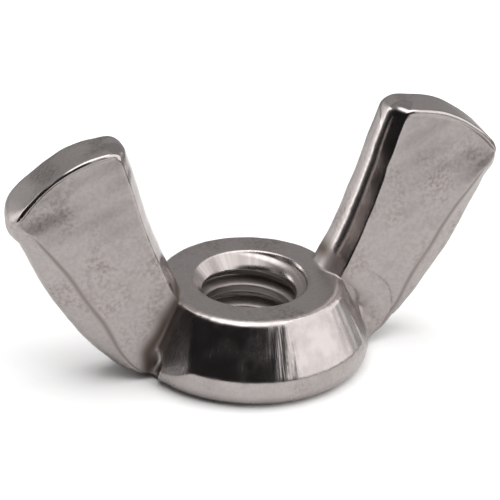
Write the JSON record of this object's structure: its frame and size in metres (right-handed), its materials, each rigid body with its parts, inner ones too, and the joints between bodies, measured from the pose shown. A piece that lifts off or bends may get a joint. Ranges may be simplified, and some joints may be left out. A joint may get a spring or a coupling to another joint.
{
  "type": "wing nut",
  "caption": "Cold-forged wing nut: a conical hub over a round band, wings leaning out either side, and a countersunk threaded through hole, in bright stainless steel.",
  "frame": {"origin": "centre of the hole in the base face, the flat ring that bears on the work", "axes": "+Z along the hole towards the wings, +X through one wing, +Y through the thickness of the wings"},
  "size_m": [0.0222, 0.0104, 0.011],
  "materials": {
    "stainless_steel": "tumbled and part-polished stainless steel: bright on the hub's cone, satin on the wings"
  },
  "bodies": {
    "root": {"wing_nut": "stainless_steel"}
  },
  "joints": []
}
